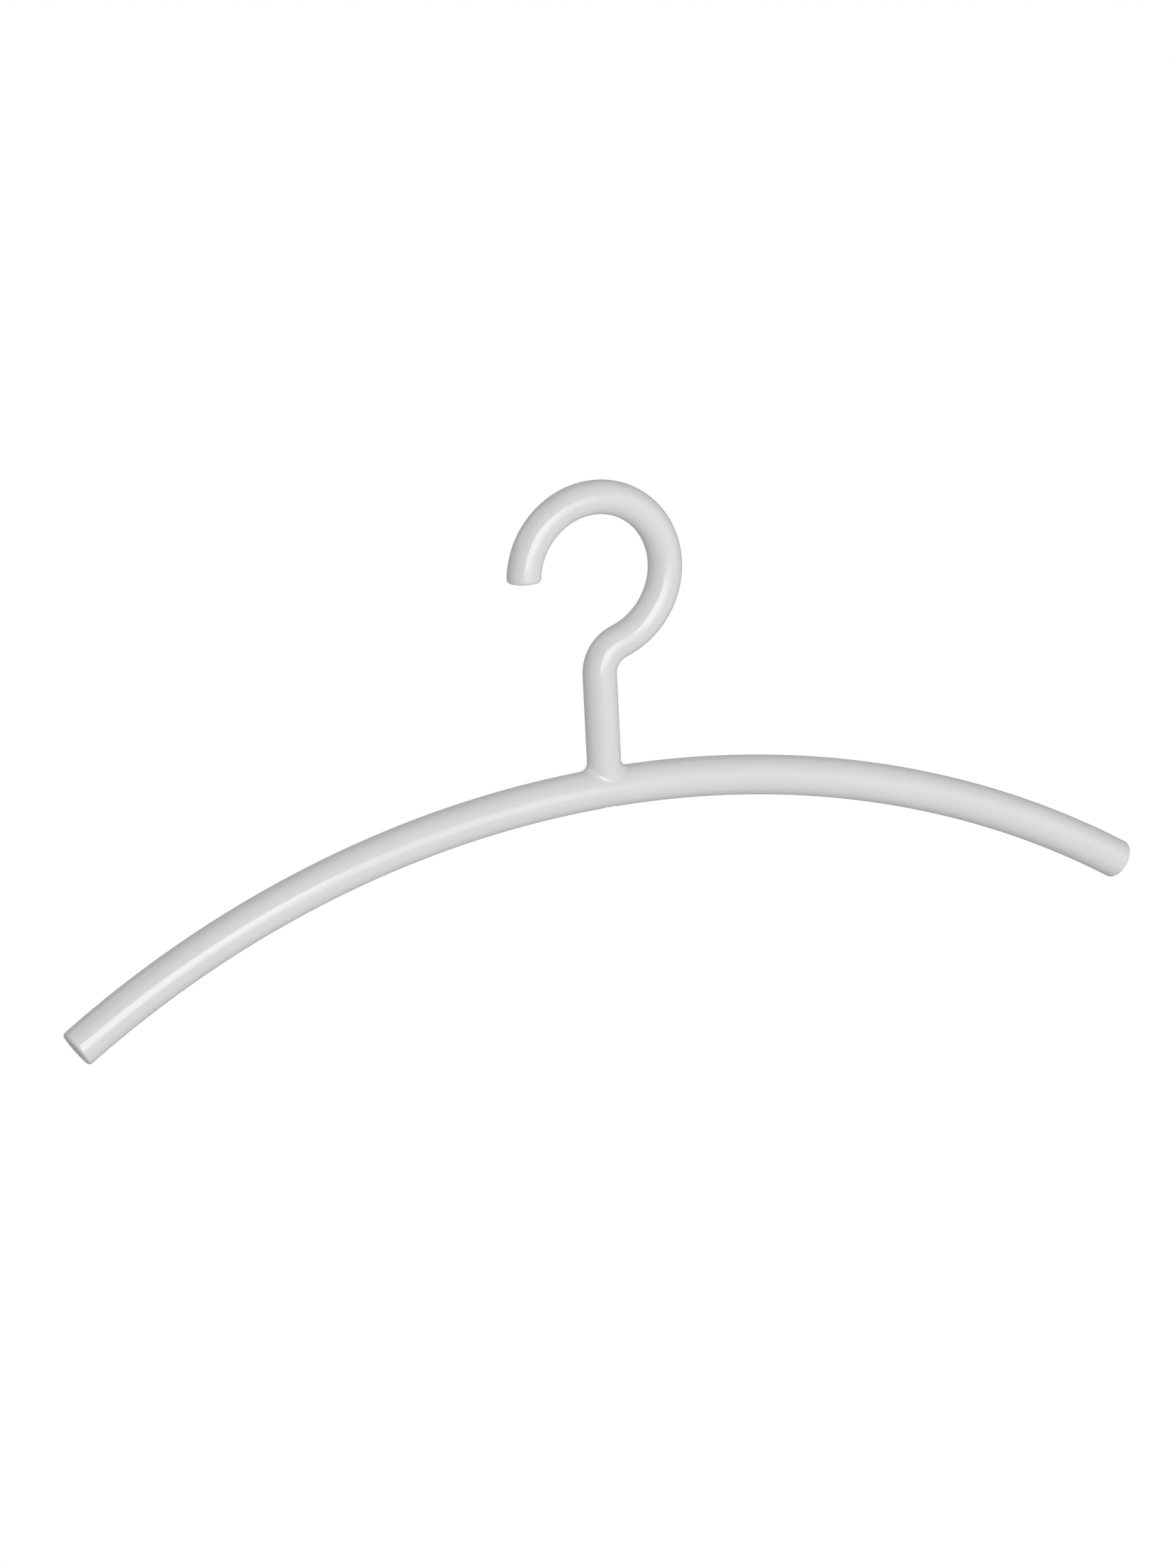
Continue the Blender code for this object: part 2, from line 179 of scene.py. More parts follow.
def skin(name, rings):
    """A closed piece through rings of points, from pole to pole, or round to the first ring again."""
    bm = bmesh.new()
    loops = [new_corners(bm, points) for points in rings]
    following = loops[1:] if len(loops[0]) == 1 else loops[1:] + loops[:1]
    for first, second in zip(loops, following):
        bridge(bm, first, second)
    return mesh_piece(name, bm)


def ring(place, direction, radius):
    """Points of a circle round a station; the first lies on the right of a rising stem."""
    right = Vector((direction.z, 0.0, -direction.x))
    angles = [tau * i / SIDES for i in range(SIDES)]
    return [place + radius * (right * cos(a) + Y_AXIS * sin(a)) for a in angles]


def rounded_end(place, direction, radius, rounding, sense=1.0):
    """Rings round the edge of a flat end, from the side onto the face, which looks along
    sense * direction.
    """
    inwards = -sense * direction
    rings = []
    for step in range(1, ROUNDING_STEPS + 1):
        angle = 0.5 * pi * step / ROUNDING_STEPS
        back = rounding * (1.0 - sin(angle))
        rings.append(ring(place + inwards * back, direction, radius - rounding * (1.0 - cos(angle))))
    rings.append(ring(place, direction, radius - rounding - EDGE_BREAK))
    return rings


def plug_hole(place, direction, radius, depth, sense=1.0):
    """Rings from a flat face into a plug's hole, whose mouth is slightly broken."""
    inwards = -sense * direction
    return [
        ring(place, direction, radius + 2.0 * EDGE_BREAK),
        ring(place, direction, radius + EDGE_BREAK),
        ring(place + inwards * EDGE_SOFTENING, direction, radius + EDGE_SOFTENING),
        ring(place + inwards * EDGE_BREAK, direction, radius),
        ring(place + inwards * depth, direction, radius),
    ]


# ---------------------------------------------------------------- shoulder bar and its tube

# A patch of cells left open in the bar's outer and inner skin, and the hole that joins the two.
# The hole's radius is a function of the height, top says which side of the bar it is on, and
# mouth is the rounding of its edge.
Window = namedtuple("Window", "outer_stations inner_stations sides hole_radius top mouth")


def bar_place(angle):
    """The bar axis's place and direction, at an angle from the middle seen from the arc's centre."""
    centre = Vector((0.0, 0.0, BAR_AXIS_Z - BAR_ARC_RADIUS))
    place = centre + BAR_ARC_RADIUS * Vector((sin(angle), 0.0, cos(angle)))
    return place, Vector((cos(angle), 0.0, -sin(angle)))


def bar_angles(half_angle):
    """Stations along the bar, closer over the middle, where the hook and the screw pass through."""
    middle = WINDOW_HALF_LENGTH / BAR_ARC_RADIUS
    side = BAR_STATIONS // 2
    left = [-half_angle + (half_angle - middle) * i / side for i in range(side)]
    centre = [middle * (2.0 * i / WINDOW_CELLS - 1.0) for i in range(WINDOW_CELLS)]
    right = [middle + (half_angle - middle) * i / side for i in range(side + 1)]
    return left + centre + right


def bar_surface(x, y, radius, top):
    """Height of the bar's top or underside, for a skin of a given radius round its axis."""
    rise = sqrt(radius * radius - y * y) * (1.0 if top else -1.0)
    return BAR_AXIS_Z + sqrt((BAR_ARC_RADIUS + rise) ** 2 - x * x) - BAR_ARC_RADIUS


def stem_hole_radius(height):
    """Radius of the stem's hole, which is the same at every height."""
    return ROD_RADIUS + CORE_FIT


def screw_well_radius(height):
    """Radius of the countersunk well for the screw, at a height from the origin."""
    widest = SCREW_HEAD_RADIUS + WELL_FIT
    up_the_cone = height - SCREW_FACE_Z - SCREW_HEAD_RIM
    return max(SCREW_RADIUS + WELL_FIT, min(widest, widest - up_the_cone))


def crossing(hole_radius, angle, radius, top):
    """The point where a hole's wall crosses a skin of the bar, in one direction from the hole's axis."""
    low, high = 0.0, WIDEST_HOLE * radius
    for _ in range(BISECTIONS):
        middle = 0.5 * (low + high)
        height = bar_surface(middle * cos(angle), middle * sin(angle), radius, top)
        if hole_radius(height) > middle:
            low = middle
        else:
            high = middle
    x, y = low * cos(angle), low * sin(angle)
    return Vector((x, y, bar_surface(x, y, radius, top)))


def into_bar(window):
    """Sense of Z from a window's mouth into the bar."""
    return -1.0 if window.top else 1.0


def window_border(loops, stations, sides):
    """Corners round the cells that a hole leaves open, in order."""
    border = [loops[station][sides[0]] for station in stations[:-1]]
    border += [loops[stations[-1]][side] for side in sides[:-1]]
    border += [loops[station][sides[-1]] for station in reversed(stations[1:])]
    border += [loops[stations[0]][side] for side in reversed(sides[1:])]
    return border


def across_skin(border, edge, radius, top):
    """Rings of points on a skin of the bar, between a window's border and a hole's edge."""
    rings = []
    for step in range(1, WINDOW_RINGS):
        share = step / WINDOW_RINGS
        points = []
        for corner, rim in zip(border, edge):
            x = corner.co.x + (rim.x - corner.co.x) * share
            y = corner.co.y + (rim.y - corner.co.y) * share
            points.append(Vector((x, y, bar_surface(x, y, radius, top))))
        rings.append(points)
    return rings


def mouth_rings(edge, angles, radius, window):
    """Rings of points that round a hole's edge, from the outer skin into the hole."""
    rings = []
    for step in range(ROUNDING_STEPS if window.mouth else 0):
        turned = 0.5 * pi * step / ROUNDING_STEPS
        depth = window.mouth * (1.0 - cos(turned))
        points = []
        for rim, angle in zip(edge, angles):
            out = hypot(rim.x, rim.y) + window.mouth * (1.0 - sin(turned))
            x, y = out * cos(angle), out * sin(angle)
            height = bar_surface(x, y, radius, window.top) + into_bar(window) * depth
            points.append(Vector((x, y, height)))
        rings.append(points)
    return rings


def wall_rings(outer_edge, inner_edge, angles, window):
    """Rings of points down a hole's wall, from its mouth to the inner skin."""
    rings = []
    for step in range(LINING_RINGS + 1):
        share = step / LINING_RINGS
        points = []
        for start, end, angle in zip(outer_edge, inner_edge, angles):
            first_height = start.z + into_bar(window) * window.mouth
            height = first_height + (end.z - first_height) * share
            out = window.hole_radius(height)
            points.append(Vector((out * cos(angle), out * sin(angle), height)))
        rings.append(points)
    return rings


def hole_lining(outer, inner, window, radii):
    """Rings of points from a window's border in the outer skin, through its hole, to the inner skin."""
    outer_radius, inner_radius = radii
    angles = [atan2(corner.co.y, corner.co.x) for corner in outer]
    outer_edge = [crossing(window.hole_radius, angle, outer_radius, window.top) for angle in angles]
    inner_edge = [crossing(window.hole_radius, angle, inner_radius, window.top) for angle in angles]
    wide_edge = []
    for rim, angle in zip(outer_edge, angles):
        x = rim.x + window.mouth * cos(angle)
        y = rim.y + window.mouth * sin(angle)
        wide_edge.append(Vector((x, y, bar_surface(x, y, outer_radius, window.top))))

    towards_outer = across_skin(outer, wide_edge, outer_radius, window.top)
    rounding = mouth_rings(outer_edge, angles, outer_radius, window)
    wall = wall_rings(outer_edge, inner_edge, angles, window)
    towards_inner = across_skin(inner, inner_edge, inner_radius, window.top)
    return towards_outer + rounding + wall + towards_inner[::-1]


def pierced_bar(name, sections, windows, radii):
    """A closed hollow bar through rings of points, with a hole through it at each window."""
    bm = bmesh.new()
    loops = [new_corners(bm, points) for points in sections]
    open_cells = {}
    for window in windows:
        cells = {side % SIDES for side in range(min(window.sides), max(window.sides))}
        for stations in (window.outer_stations, window.inner_stations):
            for station in range(min(stations), max(stations)):
                open_cells.setdefault(station, set()).update(cells)
    for station, (first, second) in enumerate(zip(loops, loops[1:] + loops[:1])):
        bridge(bm, first, second, open_cells.get(station, ()))
    for window in windows:
        outer = window_border(loops, window.outer_stations, window.sides)
        inner = window_border(loops, window.inner_stations, window.sides)
        lining = [outer]
        for points in hole_lining(outer, inner, window, radii):
            lining.append(new_corners(bm, points))
        lining.append(inner)
        for first, second in zip(lining, lining[1:]):
            bridge(bm, first, second)
    return mesh_piece(name, bm)


def bar_windows(first_outer, last_inner, mouth):
    """The windows for the stem and the screw, from the indices of the first outer and last inner ring."""
    start = BAR_STATIONS // 2
    middle = range(start, start + WINDOW_CELLS + 1)
    outer = [first_outer + i for i in middle]
    inner = [last_inner - i for i in middle]
    half = WINDOW_CELLS // 2
    underside = range(-half, half + 1)
    topside = range(SIDES // 2 + half, SIDES // 2 - half - 1, -1)
    return (
        Window(outer, inner, topside, stem_hole_radius, top=True, mouth=0.0),
        Window(outer, inner, underside, screw_well_radius, top=False, mouth=mouth),
    )


def make_bar_skin():
    outer_half_angle = BAR_HALF_ANGLE - BAR_EDGE_ROUNDING / BAR_ARC_RADIUS
    inner_half_angle = BAR_HALF_ANGLE - BAR_END_WALL / BAR_ARC_RADIUS
    ends = []
    for sense in (-1.0, 1.0):
        place, direction = bar_place(sense * BAR_HALF_ANGLE)
        end = rounded_end(place, direction, BAR_RADIUS, BAR_EDGE_ROUNDING, sense)
        end += plug_hole(place, direction, END_PLUG_RADIUS + PLUG_SEAM, BAR_END_WALL, sense)
        ends.append(end)
    left_end, right_end = ends
    cavity_radius = TUBE_RADIUS + CORE_FIT
    outside = [ring(*bar_place(angle), BAR_RADIUS) for angle in bar_angles(outer_half_angle)]
    inside = [ring(*bar_place(angle), cavity_radius) for angle in bar_angles(inner_half_angle)]
    sections = left_end[::-1] + outside + right_end + inside[::-1]
    windows = bar_windows(len(left_end), len(sections) - 1, WELL_MOUTH_ROUNDING)
    return pierced_bar("shoulder_bar_skin", sections, windows, (BAR_RADIUS, cavity_radius))


def make_bar_tube():
    half_angle = BAR_HALF_ANGLE - (BAR_END_WALL + CORE_FIT) / BAR_ARC_RADIUS
    outer_half_angle = half_angle - EDGE_BREAK / BAR_ARC_RADIUS
    ends = []
    for sense in (-1.0, 1.0):
        place, direction = bar_place(sense * half_angle)
        ends.append(rounded_end(place, direction, TUBE_RADIUS, EDGE_BREAK, sense))
    left_end, right_end = ends
    bore_radius = TUBE_RADIUS - TUBE_WALL
    outside = [ring(*bar_place(angle), TUBE_RADIUS) for angle in bar_angles(outer_half_angle)]
    inside = [ring(*bar_place(angle), bore_radius) for angle in bar_angles(half_angle)]
    sections = left_end[::-1] + outside + right_end + inside[::-1]
    windows = bar_windows(len(left_end), len(sections) - 1, 0.0)
    return pierced_bar("shoulder_bar_tube", sections, windows, (TUBE_RADIUS, bore_radius))


# ---------------------------------------------------------------- hook and its core

def turn(place, direction, radius, angle):
    """Follow an arc in the hook's plane; a positive angle turns from +Z towards -X."""
    side = Vector((-direction.z, 0.0, direction.x))
    centre = place + side * radius if angle > 0.0 else place - side * radius
    rotation = Matrix.Rotation(-angle, 3, "Y")
    return centre + rotation @ (place - centre), rotation @ direction


def hook_corners():
    """Start of the knee, of the link and of the loop, each as (place, direction)."""
    knee = (Vector((0.0, 0.0, BAR_AXIS_Z + STEM_HEIGHT)), UP.copy())
    link = turn(*knee, KNEE_RADIUS, -KNEE_ANGLE)
    loop = (link[0] + link[1] * LINK_LENGTH, link[1])
    return knee, link, loop


def tip_station():
    return turn(*hook_corners()[2], LOOP_RADIUS, LOOP_ANGLE)


def hook_stations(stem_foot, short_of_tip):
    """Stations up the stem, round the knee and round the loop, to a length short of the tip."""
    knee, _, loop = hook_corners()
    stem = [stem_foot + (knee[0].z - stem_foot) * i / STEM_STEPS for i in range(STEM_STEPS)]
    stations = [(Vector((0.0, 0.0, height)), UP) for height in stem]
    stations += [turn(*knee, KNEE_RADIUS, -KNEE_ANGLE * i / KNEE_STEPS) for i in range(KNEE_STEPS + 1)]
    loop_angle = LOOP_ANGLE - short_of_tip / LOOP_RADIUS
    stations += [turn(*loop, LOOP_RADIUS, loop_angle * i / LOOP_STEPS) for i in range(LOOP_STEPS + 1)]
    return stations


def height_over_bar(x, y, stand_off):
    """Height over the bar's middle axis of the surface a stand-off above the bar."""
    return bar_surface(x, y, BAR_RADIUS + stand_off, True) - BAR_AXIS_Z


def clearance(point):
    """Distance of a point from the bar's surface; z counts from the bar's axis at the middle."""
    over_arc = hypot(point.x, point.z + BAR_ARC_RADIUS) - BAR_ARC_RADIUS
    return hypot(over_arc, point.y) - BAR_RADIUS


def fillet_ball(angle):
    """Centre of the ball that rolls between stem and bar, and its directions to both."""
    reach = HOOK_RADIUS + FOOT_FILLET_RADIUS
    x, y = reach * cos(angle), reach * sin(angle)
    centre = Vector((x, y, height_over_bar(x, y, FOOT_FILLET_RADIUS)))
    to_stem = Vector((-cos(angle), -sin(angle), 0.0))
    arc_centre = Vector((0.0, 0.0, -BAR_ARC_RADIUS))
    outward = Vector((centre.x, 0.0, centre.z + BAR_ARC_RADIUS)).normalized()
    to_bar = (arc_centre + outward * BAR_ARC_RADIUS - centre).normalized()
    return centre, to_stem, to_bar


def fillet_point(angle, turned_by):
    """A point on the fillet, a turn of the ball's radius away from the stem."""
    centre, to_stem, to_bar = fillet_ball(angle)
    whole = acos(to_stem.dot(to_bar))
    direction = to_stem * sin(whole - turned_by) + to_bar * sin(turned_by)
    return centre + direction * (FOOT_FILLET_RADIUS / sin(whole))


def fillet_turn_at_fit(angle):
    """How far the fillet turns before it comes within the saddle's fit of the bar."""
    _, to_stem, to_bar = fillet_ball(angle)
    low, high = 0.0, acos(to_stem.dot(to_bar))
    for _ in range(BISECTIONS):
        middle = 0.5 * (low + high)
        if clearance(fillet_point(angle, middle)) > SADDLE_FIT:
            low = middle
        else:
            high = middle
    return low


def foot_rings():
    """Rings up the outside of the foot, from the saddle's edge to where the fillet leaves the stem."""
    rings = [[] for _ in range(FILLET_STEPS + 1)]
    for i in range(SIDES):
        angle = tau * i / SIDES
        whole_turn = fillet_turn_at_fit(angle)
        for step, points in enumerate(rings):
            turned_by = whole_turn * (1.0 - step / FILLET_STEPS)
            points.append(fillet_point(angle, turned_by) + UP * BAR_AXIS_Z)
    return rings


def saddle_rings(edge):
    """Rings over the bar under the foot, from the bore out to just inside the saddle's edge."""
    bore_radius = ROD_RADIUS + CORE_FIT
    rings = []
    for step in range(SADDLE_STEPS):
        share = step / SADDLE_STEPS
        points = []
        for i, rim in enumerate(edge):
            angle = tau * i / SIDES
            x = bore_radius * cos(angle) * (1.0 - share) + rim.x * share
            y = bore_radius * sin(angle) * (1.0 - share) + rim.y * share
            points.append(Vector((x, y, BAR_AXIS_Z + height_over_bar(x, y, SADDLE_FIT))))
        rings.append(points)
    return rings


def make_hook_skin():
    foot = foot_rings()
    stem_foot = BAR_AXIS_Z + BAR_RADIUS + FOOT_FILLET_RADIUS + STEM_START
    place, direction = tip_station()
    outside = [ring(*station, HOOK_RADIUS) for station in hook_stations(stem_foot, TIP_ROUNDING)]
    tip = rounded_end(place, direction, HOOK_RADIUS, TIP_ROUNDING)
    tip += plug_hole(place, direction, TIP_PLUG_RADIUS + PLUG_SEAM, TIP_WALL)
    bore = [ring(*station, ROD_RADIUS + CORE_FIT) for station in hook_stations(stem_foot, TIP_WALL)]
    return skin("hook_skin", saddle_rings(foot[0]) + foot + outside + tip + bore[::-1])


def thread_ring(height, radius, strength):
    """One ring of a right-hand thread about the stem's axis; strength fades it out at its ends."""
    points = []
    for i in range(SIDES):
        angle = tau * i / SIDES
        phase = (height / THREAD_PITCH - angle / tau) % 1.0
        groove = min(1.0, THREAD_ROOT_SHARPNESS * (1.0 - abs(2.0 * phase - 1.0)))
        out = radius - THREAD_DEPTH * strength * groove
        points.append(Vector((out * cos(angle), out * sin(angle), height)))
    return points


def thread_rings(bottom, top, radius):
    """Rings of a thread from one height to another, run out over one pitch at both ends."""
    steps = round((top - bottom) / THREAD_PITCH * THREAD_STEPS_PER_TURN)
    rings = []
    for i in range(steps + 1):
        height = bottom + (top - bottom) * i / steps
        from_end = min(height - bottom, top - height)
        rings.append(thread_ring(height, radius, min(1.0, from_end / THREAD_PITCH)))
    return rings


def upright_ring(radius, height):
    return ring(Vector((0.0, 0.0, height)), UP, radius)


def make_hook_rod():
    foot_z = BAR_AXIS_Z - ROD_FOOT_DEPTH
    tap_radius = SCREW_RADIUS + CORE_FIT
    end_angle = LOOP_ANGLE - (TIP_WALL + CORE_FIT) / LOOP_RADIUS
    place, direction = turn(*hook_corners()[2], LOOP_RADIUS, end_angle)
    hole_end = foot_z + TAPPED_DEPTH
    tapped = [
        [Vector((0.0, 0.0, hole_end + DRILL_POINT))],
        upright_ring(tap_radius - THREAD_DEPTH, hole_end),
        *thread_rings(foot_z + EDGE_BREAK, hole_end - THREAD_PITCH, tap_radius)[::-1],
        upright_ring(tap_radius + EDGE_BREAK, foot_z),
    ]
    foot = [
        upright_ring(ROD_RADIUS - 2.0 * EDGE_BREAK, foot_z),
        upright_ring(ROD_RADIUS - EDGE_BREAK, foot_z),
    ]
    short_of_tip = TIP_WALL + CORE_FIT + EDGE_BREAK
    outside = [ring(*station, ROD_RADIUS) for station in hook_stations(foot_z + EDGE_BREAK, short_of_tip)]
    tip = rounded_end(place, direction, ROD_RADIUS, EDGE_BREAK)
    return skin("hook_rod", tapped + foot + outside + tip + [[place]])


# ---------------------------------------------------------------- screw and plugs

def hexagon_ring(across_flats, height):
    points = []
    for i in range(SIDES):
        angle = tau * i / SIDES
        from_flat = (angle + pi / 6.0) % (pi / 3.0) - pi / 6.0
        out = 0.5 * across_flats / cos(from_flat)
        points.append(Vector((out * cos(angle), out * sin(angle), height)))
    return points


def make_screw():
    face = SCREW_FACE_Z
    neck = face + SCREW_HEAD_RIM + SCREW_HEAD_RADIUS - SCREW_RADIUS
    top = face + SCREW_LENGTH
    round_the_socket = 0.5 * SOCKET_ACROSS_FLATS + 4.0 * EDGE_BREAK
    socket = [
        [Vector((0.0, 0.0, face + SOCKET_DEPTH + SOCKET_POINT))],
        hexagon_ring(SOCKET_ACROSS_FLATS, face + SOCKET_DEPTH),
        hexagon_ring(SOCKET_ACROSS_FLATS, face + EDGE_BREAK),
        hexagon_ring(SOCKET_ACROSS_FLATS + EDGE_BREAK, face + EDGE_SOFTENING),
        hexagon_ring(SOCKET_ACROSS_FLATS + 2.0 * EDGE_BREAK, face),
    ]
    head = [
        upright_ring(round_the_socket, face),
        upright_ring(SCREW_HEAD_RADIUS - 2.0 * EDGE_BREAK, face),
        upright_ring(SCREW_HEAD_RADIUS - EDGE_BREAK, face),
        upright_ring(SCREW_HEAD_RADIUS - EDGE_SOFTENING, face + EDGE_SOFTENING),
        upright_ring(SCREW_HEAD_RADIUS, face + EDGE_BREAK),
        upright_ring(SCREW_HEAD_RADIUS, face + SCREW_HEAD_RIM),
    ]
    shank = [
        *thread_rings(neck, top - 0.5 * THREAD_PITCH, SCREW_RADIUS),
        upright_ring(SCREW_RADIUS - THREAD_DEPTH, top),
        [Vector((0.0, 0.0, top))],
    ]
    return skin("screw", socket + head + shank)


def make_plug(name, place, direction, radius, length):
    """A round plug, flush at the place, with a small gate mark in the middle of its face."""
    gate_radius = GATE_SHARE * radius
    gate = [(out * gate_radius, depth * GATE_DEPTH) for out, depth in GATE_OUTLINE]
    profile = gate + [
        (gate_radius + EDGE_BREAK, 0.0),
        (radius - 2.0 * EDGE_BREAK, 0.0),
        (radius - EDGE_BREAK, 0.0),
        (radius - EDGE_SOFTENING, EDGE_SOFTENING),
        (radius, EDGE_BREAK),
        (radius, length - EDGE_BREAK),
        (radius - EDGE_BREAK, length),
        (0.0, length),
    ]
    rings = []
    for out, depth in profile:
        centre = place - direction * depth
        rings.append(ring(centre, direction, out) if out else [centre])
    return skin(name, rings)


# ---------------------------------------------------------------- materials

# The middle part of a noise's values, which most places have
NOISE_RANGE = (0.3, 0.7)

# White nylon; each pair runs from the darker or smoother to the paler or rougher
NYLON_IOR = 1.53
NYLON_LEVELS = (0.795, 0.835)
NYLON_ROUGHNESS = (0.11, 0.13)
GLOSS_SIZE = 6.0 * MM
CLOUD_SIZE = 22.0 * MM
CLOUD_STRENGTH = 0.8
SPECK_SIZE = 0.5 * MM
SPECK_DEPTH = 0.0006 * MM
PEEL_SIZE = 2.4 * MM
PEEL_DEPTH = 0.006 * MM
PARTING_EDGES = (0.03 * MM, 0.11 * MM)
PARTING_HEIGHT = 0.006 * MM
PARTING_ROUGHNESS = 0.05

# Rubbing at the rail seat, fading out between each pair of distances or heights
SEAT_EDGES = (4.0 * MM, 15.0 * MM)
SEAT_TOP = (1.0 * MM, 3.0 * MM)
SEAT_BOTTOM = (-30.0 * MM, -20.0 * MM)
SCUFF_WIDTH = 0.4 * MM
SCUFF_SQUEEZE = 0.06
SCUFF_RANGE = (0.45, 0.75)
SCUFF_DEPTH = 0.004 * MM
SCUFF_DARKNESS = 0.5
SCUFF_ROUGHNESS = 0.12

# The plugs' nylon is a little darker and duller than the rest
PLUG_PALER = -0.015
PLUG_DULLER = 0.04

# Drawn steel
STEEL_COLOURS = ((0.42, 0.42, 0.43), (0.66, 0.66, 0.67))
STEEL_ROUGHNESS = (0.26, 0.44)
STAIN_SIZE = 9.0 * MM
DIE_LINE_WIDTH = 0.12 * MM
DIE_LINE_DEPTH = 0.004 * MM
DIE_LINE_DRIFT = 2.0 * MM

# Zinc-plated steel
ZINC_COLOURS = ((0.66, 0.67, 0.70), (0.74, 0.73, 0.70))
ZINC_ROUGHNESS = (0.2, 0.34)
ZINC_FILM_SIZE = 2.5 * MM
TURNED_RING_WIDTH = 0.1 * MM
TURNED_RING_DEPTH = 0.003 * MM


class Finish:
    """A material's node tree, with short ways to add nodes to it; lengths are in metres."""

    def __init__(self, name, metallic):
        self.material = bpy.data.materials.new(name)
        self.material.use_nodes = True
        self.tree = self.material.node_tree
        self.shader = self.tree.nodes["Principled BSDF"]
        self.shader.inputs["Metallic"].default_value = metallic
        self.place = self.tree.nodes.new("ShaderNodeTexCoord").outputs["Object"]
        apart = self.add("ShaderNodeSeparateXYZ", Vector=self.place)
        self.x, self.y, self.z = apart.outputs

    def add(self, kind, **inputs):
        """A new node; each input takes a value, or another node's output to link from."""
        node = self.tree.nodes.new(kind)
        for name, value in inputs.items():
            self.plug(node.inputs[name.replace("_", " ")], value)
        return node

    def plug(self, socket, value):
        if isinstance(value, bpy.types.NodeSocket):
            self.tree.links.new(value, socket)
        else:
            socket.default_value = value

    def math(self, operation, *values):
        node = self.tree.nodes.new("ShaderNodeMath")
        node.operation = operation
        for socket, value in zip(node.inputs, values):
            self.plug(socket, value)
        return node.outputs["Value"]

    def vector(self, x, y, z):
        return self.add("ShaderNodeCombineXYZ", X=x, Y=y, Z=z).outputs["Vector"]

    def distance(self, first, second):
        first_squared = self.math("MULTIPLY", first, first)
        second_squared = self.math("MULTIPLY", second, second)
        return self.math("SQRT", self.math("ADD", first_squared, second_squared))

    def noise(self, size, detail=2.0, vector=None):
        """Noise from 0 to 1 whose features are about one size across."""
        node = self.add("ShaderNodeTexNoise", Vector=vector or self.place, Scale=1.0 / size, Detail=detail)
        return node.outputs["Fac"]

    def spread(self, value, low, high, to_low, to_high):
        """The range from low to high mapped smoothly onto another, and held beyond it."""
        node = self.add(
            "ShaderNodeMapRange",
            Value=value,
            From_Min=low,
            From_Max=high,
            To_Min=to_low,
            To_Max=to_high,
        )
        node.interpolation_type = "SMOOTHSTEP"
        return node.outputs["Result"]

    def colour(self, value, first, second):
        """A colour between two others, by a value from 0 to 1."""
        node = self.add("ShaderNodeValToRGB", Fac=value)
        node.color_ramp.elements[0].color = (*first, 1.0)
        node.color_ramp.elements[1].color = (*second, 1.0)
        self.tree.links.new(node.outputs["Color"], self.shader.inputs["Base Color"])

    def roughness(self, value):
        self.tree.links.new(value, self.shader.inputs["Roughness"])

    def bump(self, height):
        """Small relief; the height is in metres."""
        node = self.add("ShaderNodeBump", Height=height, Distance=1.0, Strength=1.0)
        self.tree.links.new(node.outputs["Normal"], self.shader.inputs["Normal"])


def white_nylon(name, paler, duller):
    """Moulded white nylon: faint clouds, mould texture, the parting line and a rubbed rail seat."""
    finish = Finish(name, metallic=0.0)
    finish.shader.inputs["IOR"].default_value = NYLON_IOR

    cloud = finish.noise(CLOUD_SIZE)
    speck = finish.noise(SPECK_SIZE, detail=3.0)
    parting = finish.spread(finish.math("ABSOLUTE", finish.y), *PARTING_EDGES, 1.0, 0.0)
    scuffs = rail_scuffs(finish)

    clouds = finish.math("MULTIPLY", cloud, CLOUD_STRENGTH)
    specks = finish.math("MULTIPLY", speck, 1.0 - CLOUD_STRENGTH)
    dirt = finish.math("MULTIPLY", scuffs, SCUFF_DARKNESS)
    tone = finish.math("SUBTRACT", finish.math("ADD", clouds, specks), dirt)
    darker, lighter = [[level + paler] * 3 for level in NYLON_LEVELS]
    finish.colour(tone, darker, lighter)

    smoothest, roughest = [level + duller for level in NYLON_ROUGHNESS]
    gloss = finish.spread(finish.noise(GLOSS_SIZE, detail=3.0), *NOISE_RANGE, smoothest, roughest)
    gloss = finish.math("ADD", gloss, finish.math("MULTIPLY", scuffs, SCUFF_ROUGHNESS))
    finish.roughness(finish.math("ADD", gloss, finish.math("MULTIPLY", parting, PARTING_ROUGHNESS)))

    peel = finish.math("MULTIPLY", finish.noise(PEEL_SIZE, detail=1.0), PEEL_DEPTH)
    texture = finish.math("MULTIPLY", speck, SPECK_DEPTH)
    ridge = finish.math("MULTIPLY", parting, PARTING_HEIGHT)
    scratch = finish.math("MULTIPLY", scuffs, -SCUFF_DEPTH)
    relief = finish.math("ADD", finish.math("ADD", peel, texture), finish.math("ADD", ridge, scratch))
    finish.bump(relief)
    return finish.material


def rail_scuffs(finish):
    """How rubbed the nylon is, from 0 to 1: only inside the top of the hook, in lines along the rail."""
    squeezed_y = finish.math("MULTIPLY", finish.y, SCUFF_SQUEEZE)
    along_the_rail = finish.vector(finish.x, squeezed_y, finish.z)
    rubbing = finish.noise(SCUFF_WIDTH, detail=4.0, vector=along_the_rail)
    near_seat = finish.spread(finish.distance(finish.x, finish.y), *SEAT_EDGES, 1.0, 0.0)
    inside_hook = finish.spread(finish.z, *SEAT_TOP, 1.0, 0.0)
    above_bar = finish.spread(finish.z, *SEAT_BOTTOM, 0.0, 1.0)
    seat = finish.math("MULTIPLY", finish.math("MULTIPLY", near_seat, inside_hook), above_bar)
    return finish.math("MULTIPLY", seat, finish.spread(rubbing, *SCUFF_RANGE, 0.0, 1.0))


